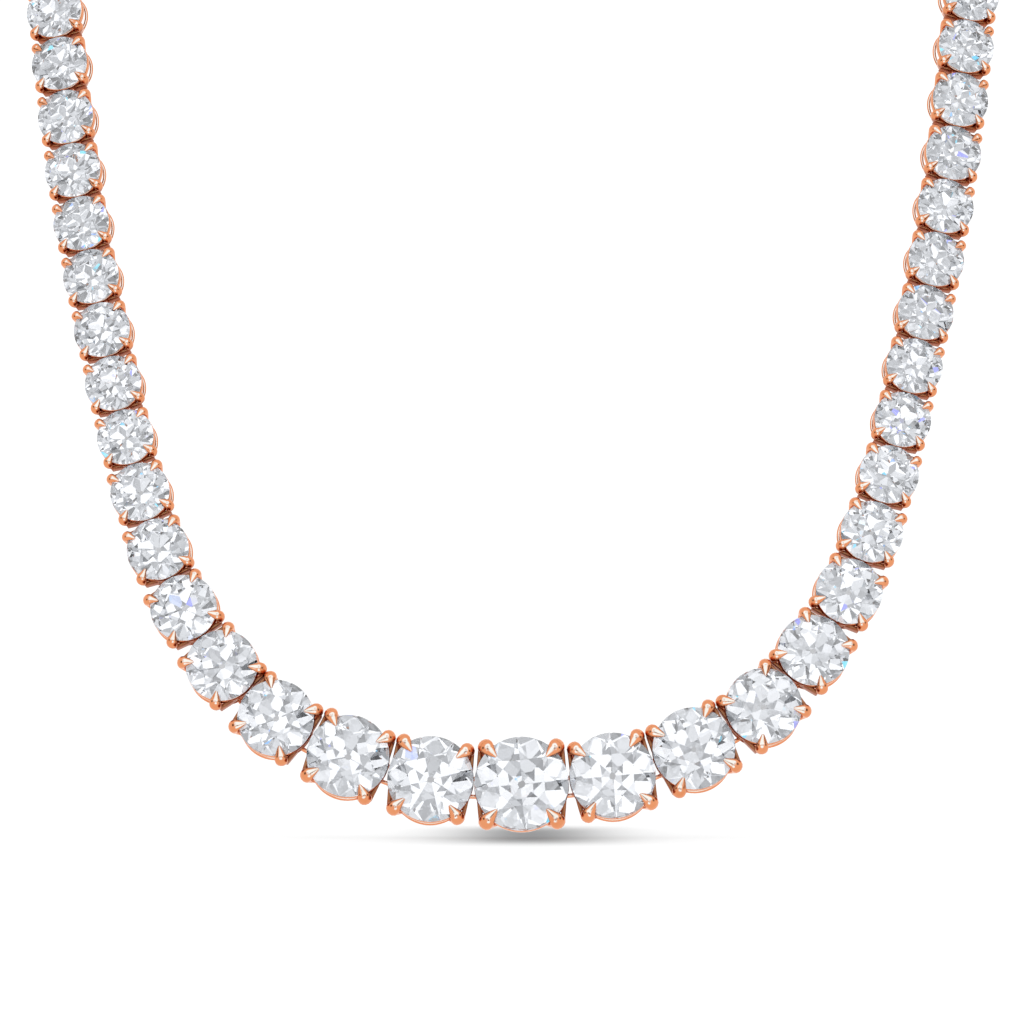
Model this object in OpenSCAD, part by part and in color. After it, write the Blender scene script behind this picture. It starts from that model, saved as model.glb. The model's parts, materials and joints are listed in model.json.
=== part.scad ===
// Riviere necklace: a closed loop of round stones in four-claw baskets, graduated to the front,
// held in the form that it hangs in. +Z is up, +X is the wearer's left and the viewer's right,
// the front faces -Y, and the origin is at the nape, in the middle of the back of the loop.

/* [Stones] */
// Width of the front stone
front_stone_w = 9.8; // [9.6:0.1:10.4]
// Width of the even stones along the arms and round the back
arm_stone_w = 6.05; // [5.8:0.05:6.4]
// Stones on each side of the front stone
side_stones = 30; // [29:1:32]
// Space between neighbouring girdles where the chain lies straight
girdle_gap = 0.12; // [0.1:0.01:0.4]

/* [Cut of the stones] */
// Width of the table, percent of the stone's width
table_pct = 54; // [48:1:62]
// Height of the crown above the girdle, percent of the stone's width
crown_pct = 15; // [12:0.5:17]
// Depth of the pavilion below the girdle, percent of the stone's width
pavilion_pct = 43; // [40:0.5:45]
// Width of the culet, percent of the stone's width
culet_pct = 7; // [3:0.5:10]
// Thickness of the girdle, percent of the stone's width
girdle_pct = 2.4; // [1.5:0.1:3.5]

/* [Front basket] */
// Thickness of a claw at the girdle
claw_w = 1.3; // [1.1:0.02:1.34]
// Thickness of a claw at its foot
claw_foot_w = 0.9; // [0.7:0.05:1.1]
// Distance of a claw's shoulder from the stone's edge
claw_stand = 0.46; // [0.4:0.01:0.5]
// Reach of a claw's point over the stone's edge
claw_reach = 1.25; // [0.9:0.05:1.5]
// Angle between the chain's line and the claws
claw_angle = 48.5; // [48:0.5:50]
// Thickness of the rail under the girdle
upper_rail_w = 0.6; // [0.45:0.05:0.7]
// Depth of the upper rail's middle below the girdle
upper_rail_drop = 1.25; // [1.1:0.05:1.6]
// Thickness of the lower rail, which carries the links
lower_rail_w = 0.62; // [0.5:0.02:0.7]
// Width across the middle of the lower rail
lower_rail_d = 8.8; // [8.4:0.1:8.9]
// Depth of the lower rail's middle below the girdle
basket_h = 4; // [3.8:0.1:4.4]
// Clearance between a stone and its metal
stone_gap = 0.08; // [0.06:0.01:0.12]

/* [Links] */
// Thickness of the links' wire
link_wire = 0.36; // [0.28:0.02:0.44]
// Clearance between a link and the rail inside it
link_gap = 0.14; // [0.12:0.01:0.16]
// Distance of the two links of a joint from the chain's middle, percent of the stone's width
link_spread_pct = 10; // [8:0.5:12]

/* [Clasp] */
// Length of the clasp between its two bars
clasp_l = 8; // [7:0.5:10]
// Width of the clasp's box
clasp_w = 4.6; // [4:0.1:5.4]
// Thickness of the clasp's box
clasp_t = 2.8; // [2.4:0.1:3.4]
// Width of the flats across the clasp's corners
clasp_flat = 0.8; // [0.4:0.1:1.1]
// Thickness of the clasp's bars and ears
clasp_bar_w = 0.5; // [0.4:0.05:0.6]

/* [Hang] */
// How far the chain has slid along the loop from the middle
slide = 1; // [0:0.25:1.5]

/* [Hidden] */
// Stones on each side that are pieces of their own, and those round the back
own_stones = 16;

// How much of the step from an arm stone to the front stone each graduated stone keeps
GRADE = [1, 0.77, 0.68, 0.52, 0.39, 0.26, 0.15, 0.07];

// Chosen points of the loop's right half, from under the front stone to the nape, along the
// middles of the lower rails: across, back and up from the first point, in millimetres, then
// the turn of the stone's face from the front and its lift from level, in degrees
ROUTE = [
    [0, 0, 0, 0, 7],
    [13, 0.2, 1.5, 2, 8],
    [25.5, 1.4, 7.5, 4, 11],
    [34, 4.4, 18, 7, 15],
    [38.8, 8.4, 30.5, 9, 18],
    [42.5, 13.8, 45.5, 11, 20],
    [45.8, 20, 62, 13, 20],
    [48.2, 26.8, 80, 15, 20],
    [49.4, 35.2, 98, 26, 22],
    [44.8, 49, 112, 58, 26],
    [33, 62.2, 121.5, 102, 24],
    [17, 70.8, 126, 148, 18],
    [0, 73.6, 127, 180, 14]
];
// Columns of the route's rows
TURN = 3;
LIFT = 4;
columns = 5;
// Samples between two route points, and the half step that finds the loop's direction
route_steps = 12;
aim_step = 0.5;
// Each side's route is the same, mirrored: the left half runs back from the nape to the front
NAPE_ROW = len(ROUTE) - 1;
LOOP = concat(
    ROUTE,
    [for (k = [NAPE_ROW - 1:-1:1])
        [-ROUTE[k].x, ROUTE[k].y, ROUTE[k].z, 360 - ROUTE[k][TURN], ROUTE[k][LIFT]]]
);
spans = len(LOOP);

// Smoothness of the round surfaces
$fn = 48;

// Proportions of the cut, as shares of the stone's width
table_r = table_pct / 200;
star_r = (0.5 + 3 * table_r) / 3.6;
crown_h = crown_pct / 100;
girdle_h = girdle_pct / 200;
pavilion_h = pavilion_pct / 100;
culet_r = culet_pct / 200;
lower_half_r = 0.25;
facet_turn = 22.5;
crown_slope = (crown_h - girdle_h) / (0.5 - table_r);
star_h = crown_h - (star_r * cos(facet_turn) - table_r) * crown_slope;
pavilion_slope = (pavilion_h - girdle_h) / (0.5 - culet_r * cos(facet_turn));
lower_half_h = -girdle_h - (0.5 - lower_half_r * cos(facet_turn)) * pavilion_slope;
edge_slope = (star_h - girdle_h) / (0.5 - star_r);
half_slope = (-girdle_h - lower_half_h) / (0.5 - lower_half_r);

// Radii and places of the front basket, from the middle of its lower rail
front_r = front_stone_w / 2;
lower_rail_r = lower_rail_d / 2;
upper_rail_r = front_r - upper_rail_w / 2;
upper_rail_z = basket_h - upper_rail_drop;
claw_foot_drop = lower_rail_w * 0.62;
shoulder_r = front_r + claw_stand;
point_r = front_r - claw_reach;
point_z = basket_h + girdle_h * front_stone_w + stone_gap + claw_reach * edge_slope;
point_w = claw_w * 0.16;

// A link's two bars are drawn a little thinner than its bends and lap into them
link_bar_w = link_wire * 0.9;
link_lap = link_wire * 0.2;

// The clasp's bar stands as far from the last stone as the next basket's rail would
bar_step = arm_stone_w + girdle_gap - arm_rail_x();

// Sizes along the chain
function stone_w(i) = arm_stone_w + (front_stone_w - arm_stone_w) * (i < len(GRADE) ? GRADE[i] : 0);
function basket_scale(i) = stone_w(i) / front_stone_w;
function link_spread(i) = stone_w(i) * link_spread_pct / 100;
function rail_x(i) = sqrt(pow(lower_rail_r * basket_scale(i), 2) - pow(link_spread(i), 2));
function arm_rail_x() = rail_x(side_stones);
function run(i) = i == 0 ? 0 : run(i - 1) + (stone_w(i - 1) + stone_w(i)) / 2 + girdle_gap;
chain_l = 2 * (run(side_stones) + bar_step) + clasp_l;

// The loop as a smooth closed curve through its chosen points, drawn to the chain's length
function row(k) = LOOP[k % spans] + [0, 0, 0, k < spans ? 0 : 360, 0];
function before(k) = k == 0 ? LOOP[spans - 1] - [0, 0, 0, 360, 0] : row(k - 1);
function smooth(a, b, c, d, t) =
    (2 * b + (c - a) * t + (2 * a - 5 * b + 4 * c - d) * t * t + (3 * b - a - 3 * c + d) * t * t * t) / 2;
WAY = concat(
    [for (k = [0:spans - 1]) for (j = [0:route_steps - 1])
        smooth(before(k), row(k), row(k + 1), row(k + 2), j / route_steps)],
    [row(spans)]
);
function place(r) = [r.x, r.y, r.z];
function leg(i) = i + 1 < len(WAY) ? norm(place(WAY[i + 1]) - place(WAY[i])) : 0;
DRAWN = [for (i = 0, s = 0; i < len(WAY); s = s + leg(i), i = i + 1) s];
fit = chain_l / DRAWN[len(DRAWN) - 1];
TRACK = [for (c = [0:columns - 1]) [for (i = [0:len(WAY) - 1])
    [DRAWN[i] * fit, (WAY[i][c] - (c < TURN ? ROUTE[NAPE_ROW][c] : 0)) * (c < TURN ? fit : 1)]]];
function way(s) = [for (c = [0:columns - 1]) lookup((s + chain_l) % chain_l, TRACK[c])];

// Axes and place of whatever sits at a length along the loop: along, across to the inside, outwards
function unit(v) = v / norm(v);
function square_to(v, t) = unit(v - (v * t) * t);
function facing(turn, lift) = [sin(turn) * cos(lift), -cos(turn) * cos(lift), sin(lift)];
function axes(s) =
    let (here = way(s), along = unit(place(way(s + aim_step)) - place(way(s - aim_step))))
    let (out = square_to(facing(here[TURN], here[LIFT]), along))
    [along, cross(out, along), out, place(here)];
function station(side, i) = axes(slide + side * run(i));
function in_world(f, p) = f[3] + p.x * f[0] + p.y * f[1] + p.z * f[2];
function rail_point(side, i, toward, level) =
    in_world(station(side, i), [toward * rail_x(i), level * link_spread(i), 0]);
CLASP_AXES = axes(slide + chain_l / 2);

module in_axes(f) {
    multmatrix([
        [f[0].x, f[1].x, f[2].x, f[3].x],
        [f[0].y, f[1].y, f[2].y, f[3].y],
        [f[0].z, f[1].z, f[2].z, f[3].z],
        [0, 0, 0, 1]
    ])
        children();
}

// A round bar from one point to another
module bar(a, b, w) {
    d = b - a;
    translate(a)
        rotate([0, acos(d.z / norm(d)), atan2(d.y, d.x)])
            cylinder(h = norm(d), d = w);
}

// A ring of round wire
module ring(r, w) {
    rotate_extrude()
        translate([r, 0])
            circle(d = w);
}

function on_circle(r, a, z) = [r * cos(a), r * sin(a), z];
function circle_of(n, r, first, z) = [for (k = [0:n - 1]) on_circle(r, first + k * 360 / n, z)];

// A round stone of old cut, one unit wide: table, stars, kites, halves, girdle, mains and culet
module cut_stone() {
    points = concat(
        circle_of(8, table_r, 0, crown_h),
        circle_of(8, star_r, facet_turn, star_h),
        circle_of(16, 0.5, 0, girdle_h),
        circle_of(16, 0.5, 0, -girdle_h),
        circle_of(8, lower_half_r, facet_turn, lower_half_h),
        circle_of(8, culet_r, facet_turn, -pavilion_h)
    );
    table = 0;
    star = 8;
    upper = 16;
    lower = 32;
    half = 48;
    culet = 56;
    faces = concat(
        [[for (k = [7:-1:0]) table + k]],
        [for (k = [0:7]) [table + k, table + (k + 1) % 8, star + k]],
        [for (k = [0:7]) [table + k, star + k, upper + 2 * k, star + (k + 7) % 8]],
        [for (k = [0:7]) [upper + 2 * k, star + k, upper + 2 * k + 1]],
        [for (k = [0:7]) [upper + 2 * k + 1, star + k, upper + (2 * k + 2) % 16]],
        [for (j = [0:15]) [upper + j, upper + (j + 1) % 16, lower + (j + 1) % 16, lower + j]],
        [for (k = [0:7]) [lower + 2 * k + 1, half + k, lower + 2 * k]],
        [for (k = [0:7]) [lower + (2 * k + 2) % 16, half + k, lower + 2 * k + 1]],
        [for (k = [0:7]) [lower + 2 * k, half + k, culet + k, culet + (k + 7) % 8, half + (k + 7) % 8]],
        [[for (k = [0:7]) culet + k]]
    );
    polyhedron(points, faces);
}

// The part of a turned profile that lies within a width, as measured at the claws' shoulders
module slice(width) {
    turn = 2 * asin(width / 2 / shoulder_r);
    rotate([0, 0, -turn / 2])
        rotate_extrude(angle = turn)
            children();
}

// One claw: foot, shaft, rounded shoulder and a point over the crown, with a seat for the girdle
module claw() {
    w = front_stone_w;
    seat_r = w / 2 + stone_gap;
    seat_h = girdle_h * w + stone_gap;
    bite = seat_r - shoulder_r + claw_w / 2;
    slice(claw_w)
        polygon([
            [lower_rail_r - claw_foot_w / 2, -claw_foot_drop],
            [lower_rail_r + claw_foot_w / 2, -claw_foot_drop],
            [shoulder_r + claw_w * 0.5, basket_h - claw_w * 0.1],
            [shoulder_r + claw_w * 0.34, basket_h + claw_w * 0.36],
            [shoulder_r - claw_w * 0.1, basket_h + claw_w * 0.54],
            [point_r, point_z + point_w],
            [point_r, point_z],
            [seat_r, basket_h + seat_h],
            [seat_r, basket_h - seat_h],
            [seat_r - bite, basket_h - seat_h - bite * half_slope]
        ]);
}

// The front basket, which the others repeat at the scale of their stones
module basket() {
    ring(lower_rail_r, lower_rail_w);
    translate([0, 0, upper_rail_z])
        ring(upper_rail_r, upper_rail_w);
    for (a = [claw_angle, 180 - claw_angle, 180 + claw_angle, -claw_angle])
        rotate([0, 0, a])
            claw();
}

module stone_at(side, i) {
    in_axes(station(side, i))
        translate([0, 0, basket_h * basket_scale(i)])
            scale(stone_w(i))
                cut_stone();
}

module setting_at(side, i) {
    in_axes(station(side, i))
        scale(basket_scale(i))
            basket();
}

// An oval link round two wires of one thickness, whose middles are a and b
module link(a, b, rail_w, out) {
    bend_r = rail_w / 2 + link_gap + link_wire / 2;
    along = unit(b - a);
    up = square_to(out, along);
    reach = norm(b - a) / 2;
    in_axes([along, cross(up, along), up, (a + b) / 2])
        rotate([90, 0, 0]) {
            for (end = [-1, 1]) {
                translate([end * reach, 0, 0])
                    rotate([0, 0, -end * 90])
                        rotate_extrude(angle = 180)
                            translate([bend_r, 0])
                                circle(d = link_wire);
                translate([-reach - link_lap, end * bend_r, 0])
                    rotate([0, 90, 0])
                        cylinder(h = 2 * (reach + link_lap), d = link_bar_w);
            }
        }
}

// The two links between a stone's basket and the next one outwards
module joint_links(side, i) {
    out = station(side, i)[2] + station(side, i + 1)[2];
    for (level = [-1, 1])
        link(
            rail_point(side, i, side, level),
            rail_point(side, i + 1, -side, level),
            lower_rail_w * basket_scale(i),
            out
        );
}

// The two links between the last basket and the clasp's bar
module clasp_links(side) {
    out = station(side, side_stones)[2] + CLASP_AXES[2];
    for (level = [-1, 1])
        link(
            rail_point(side, side_stones, side, level),
            in_world(CLASP_AXES, [-side * clasp_l / 2, level * link_spread(side_stones), 0]),
            clasp_bar_w,
            out
        );
}

module links(side) {
    for (i = [0:side_stones - 1])
        joint_links(side, i);
    clasp_links(side);
}

// A plain box with a bar at each end, held between two ears
module clasp_box() {
    box_l = clasp_l - 2 * (clasp_bar_w / 2 + link_gap + link_wire + link_gap);
    end_x = box_l / 2;
    side_y = clasp_w / 2;
    bar_x = clasp_l / 2;
    ear_w = clasp_bar_w * 0.9;
    ear_y = side_y - clasp_flat - clasp_bar_w / 2;
    rotate([90, 0, 0])
        linear_extrude(clasp_w, center = true)
            polygon([
                [-end_x, clasp_flat - clasp_bar_w],
                [clasp_flat - end_x, -clasp_bar_w],
                [end_x - clasp_flat, -clasp_bar_w],
                [end_x, clasp_flat - clasp_bar_w],
                [end_x, clasp_t - clasp_bar_w - clasp_flat],
                [end_x - clasp_flat, clasp_t - clasp_bar_w],
                [clasp_flat - end_x, clasp_t - clasp_bar_w],
                [-end_x, clasp_t - clasp_bar_w - clasp_flat]
            ]);
    for (x = [-1, 1]) {
        bar([x * bar_x, -side_y, 0], [x * bar_x, side_y, 0], clasp_bar_w);
        for (y = [-1, 1])
            bar([x * (end_x - clasp_flat), y * ear_y, 0], [x * bar_x, y * ear_y, 0], ear_w);
    }
}

module stone_front() {
    color("aliceblue")
        stone_at(1, 0);
}

module own_stone(side, i) {
    color("aliceblue")
        stone_at(side, i);
}

module stones_back() {
    color("aliceblue")
        for (side = [1, -1])
            for (i = [own_stones + 1:side_stones])
                stone_at(side, i);
}

module setting_front() {
    color("rosybrown")
        setting_at(1, 0);
}

module settings_side(side) {
    color("rosybrown")
        for (i = [1:side_stones])
            setting_at(side, i);
}

module links_side(side) {
    color("peru")
        links(side);
}

module clasp() {
    color("rosybrown")
        in_axes(CLASP_AXES)
            clasp_box();
}

stone_front();
for (i = [1:own_stones]) {
    own_stone(1, i);
    own_stone(-1, i);
}
stones_back();
setting_front();
settings_side(1);  // settings_right
settings_side(-1);  // settings_left
links_side(1);  // links_right
links_side(-1);  // links_left
clasp();
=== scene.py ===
import json
import math
import random

import bpy
import numpy as np
from mathutils import Matrix, Vector

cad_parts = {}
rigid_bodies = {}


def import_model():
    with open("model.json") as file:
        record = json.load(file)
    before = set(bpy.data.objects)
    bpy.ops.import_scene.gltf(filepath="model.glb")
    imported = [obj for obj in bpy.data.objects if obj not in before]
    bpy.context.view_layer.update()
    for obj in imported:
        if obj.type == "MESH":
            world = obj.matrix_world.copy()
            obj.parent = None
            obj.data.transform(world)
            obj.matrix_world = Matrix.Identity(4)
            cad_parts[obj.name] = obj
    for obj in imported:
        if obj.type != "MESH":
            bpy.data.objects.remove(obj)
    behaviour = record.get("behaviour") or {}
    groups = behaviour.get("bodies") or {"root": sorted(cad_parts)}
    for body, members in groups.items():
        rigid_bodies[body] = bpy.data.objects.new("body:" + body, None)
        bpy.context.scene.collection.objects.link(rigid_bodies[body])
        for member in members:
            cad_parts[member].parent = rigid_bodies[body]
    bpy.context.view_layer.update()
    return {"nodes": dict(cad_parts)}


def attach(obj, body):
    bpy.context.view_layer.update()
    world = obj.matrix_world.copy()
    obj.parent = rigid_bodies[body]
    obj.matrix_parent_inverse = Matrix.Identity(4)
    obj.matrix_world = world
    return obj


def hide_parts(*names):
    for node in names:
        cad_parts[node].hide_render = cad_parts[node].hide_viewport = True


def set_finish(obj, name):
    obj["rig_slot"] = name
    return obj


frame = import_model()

bl_info = {
    "name": "Riviere necklace dressing",
    "version": (1, 0, 0),
    "blender": (4, 5, 0),
    "location": "3D View > Sidebar > Riviere",
    "description": "Cuts the stones, forms the claw baskets, links and clasp, and lays out the white stage",
    "category": "Object",
}

# How many stones each side has on nodes of their own, and how deep a basket stands under its stone's girdle
OWN = 16
DEPTH = 4.0 / 9.8
# Width of the ground edge over and under a stone's girdle, for a stone of width 1
EDGE = 0.008
MM = 0.001
MERGE = 0.001


# Sizes and colours

class StoneSettings(bpy.types.PropertyGroup):
    table: bpy.props.FloatProperty(
        name="Table", description="Width of the table facet as a share of the stone's width",
        default=54.0, min=45.0, max=62.0, subtype="PERCENTAGE")
    crown: bpy.props.FloatProperty(
        name="Crown height", description="Height of the crown above the girdle's middle as a share of the width",
        default=15.0, min=12.0, max=17.0, subtype="PERCENTAGE")
    pavilion: bpy.props.FloatProperty(
        name="Pavilion depth", description="Depth below the girdle's middle as a share of the width",
        default=43.0, min=41.0, max=45.0, subtype="PERCENTAGE")
    culet: bpy.props.FloatProperty(
        name="Culet", description="Width of the open culet as a share of the stone's width",
        default=8.0, min=2.0, max=10.0, subtype="PERCENTAGE")
    girdle: bpy.props.FloatProperty(
        name="Girdle", description="Thickness of the ground girdle as a share of the stone's width",
        default=2.4, min=1.0, max=4.0, subtype="PERCENTAGE")
    hand: bpy.props.FloatProperty(
        name="Hand cutting", description="Largest turn of a facet away from its true plane",
        default=math.radians(0.7), min=0.0, max=math.radians(2.0), subtype="ANGLE", unit="ROTATION")
    sides: bpy.props.IntProperty(
        name="Girdle sides", description="Number of sides that the round girdle is cut from", default=64,
        min=32, max=96)
    index: bpy.props.FloatProperty(
        name="Refractive index", description="How strongly the stone bends light", default=2.42, min=1.5, max=2.7)
    colour: bpy.props.FloatVectorProperty(
        name="Stone colour", description="Colour of light that passes through the stone",
        default=(0.985, 0.99, 1.0), min=0.0, max=1.0, size=3, subtype="COLOR")


class BasketSettings(bpy.types.PropertyGroup):
    claw_w: bpy.props.FloatProperty(
        name="Claw width", description="Width of a front claw at its shoulder", default=0.00178,
        min=0.001, max=0.0019, unit="LENGTH")
    claw_turn: bpy.props.FloatProperty(
        name="Claw angle", description="Angle between a claw and the line of the chain",
        default=math.radians(46.7), min=math.radians(45), max=math.radians(52), subtype="ANGLE", unit="ROTATION")
    upper_wire: bpy.props.FloatProperty(
        name="Upper rail wire", description="Width of the wire under the front stone's girdle", default=0.0006,
        min=0.0004, max=0.0008, unit="LENGTH")
    upper_h: bpy.props.FloatProperty(
        name="Upper rail height", description="Height of the band under the front stone's girdle", default=0.00135,
        min=0.0006, max=0.0015, unit="LENGTH")
    upper_drop: bpy.props.FloatProperty(
        name="Upper rail drop", description="How far the upper rail lies under the front girdle", default=0.00125,
        min=0.001, max=0.0018, unit="LENGTH")
    lower_wire: bpy.props.FloatProperty(
        name="Lower rail wire", description="Width of the wire of the front basket's lower rail", default=0.00062,
        min=0.0004, max=0.0008, unit="LENGTH")
    lower_d: bpy.props.FloatProperty(
        name="Lower rail width", description="Width of the lower rail at the middle of its wire", default=0.0088,
        min=0.0084, max=0.0089, unit="LENGTH")
    oval: bpy.props.FloatProperty(
        name="Oval", description="Share by which a side basket's lower rail is wider across the chain",
        default=5.0, min=0.0, max=8.0, subtype="PERCENTAGE")
    gold: bpy.props.FloatVectorProperty(
        name="Rose gold", description="Colour of the polished metal", default=(0.76, 0.305, 0.143),
        min=0.0, max=1.0, size=3, subtype="COLOR")
    copper: bpy.props.FloatVectorProperty(
        name="Copper tone", description="Warmer tone that clouds the metal", default=(0.64, 0.22, 0.09),
        min=0.0, max=1.0, size=3, subtype="COLOR")
    # Painted shade: a deep tone put on the metal in the nooks between neighbouring baskets, where they shut the light
    # out
    nook: bpy.props.FloatVectorProperty(
        name="Nook tone", description="Deep tone of the metal in the nooks between neighbouring baskets",
        default=(0.34, 0.075, 0.02), min=0.0, max=1.0, size=3, subtype="COLOR")
    polish: bpy.props.FloatProperty(
        name="Roughness", description="Least roughness of the polished metal", default=0.11, min=0.02, max=0.5)


class LinkSettings(bpy.types.PropertyGroup):
    wire: bpy.props.FloatProperty(
        name="Link wire", description="Thickness of the round link wire", default=0.00036,
        min=0.0003, max=0.0005, unit="LENGTH")
    play: bpy.props.FloatProperty(
        name="Play", description="Gap between a link and the rail that it holds", default=0.00014,
        min=0.0001, max=0.0002, unit="LENGTH")
    spread: bpy.props.FloatProperty(
        name="Spread", description="Place of a link to each side of the chain's line as a share of the stone's width",
        default=10.0, min=8.0, max=12.0, subtype="PERCENTAGE")


class ClaspSettings(bpy.types.PropertyGroup):
    length: bpy.props.FloatProperty(
        name="Length", description="Length between the clasp's two bars", default=0.008, min=0.007, max=0.01,
        unit="LENGTH")
    width: bpy.props.FloatProperty(
        name="Width", description="Width across the clasp", default=0.0046, min=0.004, max=0.006, unit="LENGTH")
    thick: bpy.props.FloatProperty(
        name="Thickness", description="Thickness of the clasp's box", default=0.0028, min=0.002, max=0.0035,
        unit="LENGTH")
    bar: bpy.props.FloatProperty(
        name="Bar", description="Thickness of the bars that hold the last links", default=0.0005,
        min=0.0004, max=0.0007, unit="LENGTH")
    soften: bpy.props.FloatProperty(
        name="Softened edges", description="Width of the rounding on the clasp's edges", default=0.00045,
        min=0.0002, max=0.0007, unit="LENGTH")


class StageSettings(bpy.types.PropertyGroup):
    floor_z: bpy.props.FloatProperty(
        name="Floor level", description="Height of the floor under the nape", default=-0.132, unit="LENGTH")
    eye_y: bpy.props.FloatProperty(
        name="Camera distance", description="How far in front of the nape the camera stands", default=1.0736,
        min=0.3, max=3.0, unit="LENGTH")
    eye_z: bpy.props.FloatProperty(
        name="Camera height", description="Height of the camera over the nape", default=-0.0981, unit="LENGTH")
    lens: bpy.props.FloatProperty(
        name="Lens", description="Focal length in millimetres on a 36 mm sensor", default=337.5, min=50.0, max=600.0)
    tent: bpy.props.FloatProperty(
        name="Room light", description="Strength of the white light from all round", default=1.12, min=0.0, max=3.0)
    glare: bpy.props.FloatVectorProperty(
        name="Glare", description="Extra light that whitens the metal's highlights",
        default=(0.2, 2.2, 5.6), min=0.0, max=20.0, size=3, subtype="XYZ")
    shade: bpy.props.FloatProperty(
        name="Floor shade", description="Depth of the shade that lies on the floor under the front stones",
        default=0.74, min=0.0, max=1.0)
    shade_x: bpy.props.FloatProperty(
        name="Shade width", description="Reach of the shade to each side", default=0.0085, min=0.005, max=0.1,
        unit="LENGTH")
    shade_y: bpy.props.FloatProperty(
        name="Shade depth", description="Reach of the shade to the front and back", default=0.0268, min=0.01, max=0.1,
        unit="LENGTH")
    white: bpy.props.FloatVectorProperty(
        name="Floor colour", description="Colour of the matte floor", default=(0.92, 0.92, 0.92),
        min=0.0, max=1.0, size=3, subtype="COLOR")


# Shader maths

class Wire:
    """A socket that adds its Math nodes when it is used in an expression."""

    def __init__(self, finish, socket):
        self.finish, self.socket = finish, socket

    def _sum(self, kind, *terms):
        return self.finish.add("ShaderNodeMath", {"operation": kind}, dict(enumerate(terms)))

    def __add__(self, other):
        return self._sum("ADD", self, other)

    def __sub__(self, other):
        return self._sum("SUBTRACT", self, other)

    def __mul__(self, other):
        return self._sum("MULTIPLY", self, other)

    def __rsub__(self, other):
        return self._sum("SUBTRACT", other, self)

    def __pow__(self, other):
        return self._sum("POWER", self, other)

    def __rpow__(self, other):
        return self._sum("POWER", other, self)

    __radd__ = __add__
    __rmul__ = __mul__


class Finish:
    """One material or world and the one way to add a node to it."""

    def __init__(self, block):
        self.block = block
        block.use_nodes = True
        block.node_tree.nodes.clear()

    def add(self, kind, settings=None, sockets=None, out=0):
        node = self.block.node_tree.nodes.new(kind)
        for name, value in (settings or {}).items():
            if name == "stops":
                for stop, (place, shade) in zip(ramp_stops(node, len(value)), value):
                    stop.position, stop.color = place, shade
            else:
                setattr(node, name, value)
        for name, value in (sockets or {}).items():
            if isinstance(value, Wire):
                self.block.node_tree.links.new(value.socket, node.inputs[name])
            else:
                node.inputs[name].default_value = value
        return Wire(self, node.outputs[out]) if len(node.outputs) else node

    def blend(self, share, first, second):
        return self.add("ShaderNodeMix", {"data_type": "RGBA"}, {0: share, 6: first, 7: second}, out=2)


def ramp_stops(node, count):
    stops = node.color_ramp.elements
    while len(stops) < count:
        stops.new(1.0)
    return stops


def solid(colour):
    return (*colour, 1.0)


def rose_gold(name, looks, grain, polish, shade_nooks=False):
    """Polished rose gold: copper clouds, a soft mottle in the polish and fine lines left by the buff, and, where
    asked, shade painted into the nooks between baskets.
    """
    gold = Finish(bpy.data.materials.new(name))
    place = gold.add("ShaderNodeTexCoord", out=3)
    clouds = gold.add("ShaderNodeTexNoise", {}, {"Vector": place, "Scale": 420.0, "Detail": 3.0, "Roughness": 0.55})
    mottle = gold.add("ShaderNodeTexNoise", {}, {"Vector": place, "Scale": grain, "Detail": 4.0, "Roughness": 0.6})
    drawn = gold.add("ShaderNodeMapping", {}, {
        "Vector": place, "Rotation": (0.5, 0.3, 0.9), "Scale": (1.0, 1.0, 9.0)})
    lines = gold.add("ShaderNodeTexNoise", {}, {
        "Vector": drawn, "Scale": grain * 2.2, "Detail": 2.0, "Roughness": 0.5})
    colour = gold.blend(clouds ** 2.0 * 0.9, solid(looks.gold), solid(looks.copper))
    roughness = mottle * 0.10 + polish
    # Painted shade: the nook attribute blends the colour toward the dark nook tone, and roughens it, where
    # neighbouring baskets shut the light out
    if shade_nooks:
        nook = gold.add("ShaderNodeAttribute", {"attribute_name": "nook"}, out=2)
        colour = gold.blend(nook, colour, solid(looks.nook))
        roughness = nook * 0.2 + roughness
    bump = gold.add("ShaderNodeBump", {}, {
        "Strength": 0.10, "Distance": 0.00004, "Height": mottle * 0.6 + lines * 0.4})
    shader = gold.add("ShaderNodeBsdfPrincipled", {}, {
        "Base Color": colour, "Metallic": 1.0, "Roughness": roughness, "Normal": bump,
        "Specular Tint": (1.0, 0.90, 0.84, 1.0)})
    gold.add("ShaderNodeOutputMaterial", {}, {"Surface": shader})
    return gold.block


def brilliant(looks):
    """Polished stone: clear, with the faint waves that a hand-held lap leaves in a facet."""
    stone = Finish(bpy.data.materials.new("polished_facets"))
    place = stone.add("ShaderNodeTexCoord", out=3)
    waves = stone.add("ShaderNodeTexNoise", {}, {"Vector": place, "Scale": 900.0, "Detail": 1.0})
    bump = stone.add("ShaderNodeBump", {}, {"Strength": 0.02, "Distance": 0.00002, "Height": waves})
    shader = stone.add("ShaderNodeBsdfGlass", {"distribution": "GGX"}, {
        "Color": solid(looks.colour), "Roughness": 0.0, "IOR": looks.index, "Normal": bump})
    stone.add("ShaderNodeOutputMaterial", {}, {"Surface": shader})
    return stone.block


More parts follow.
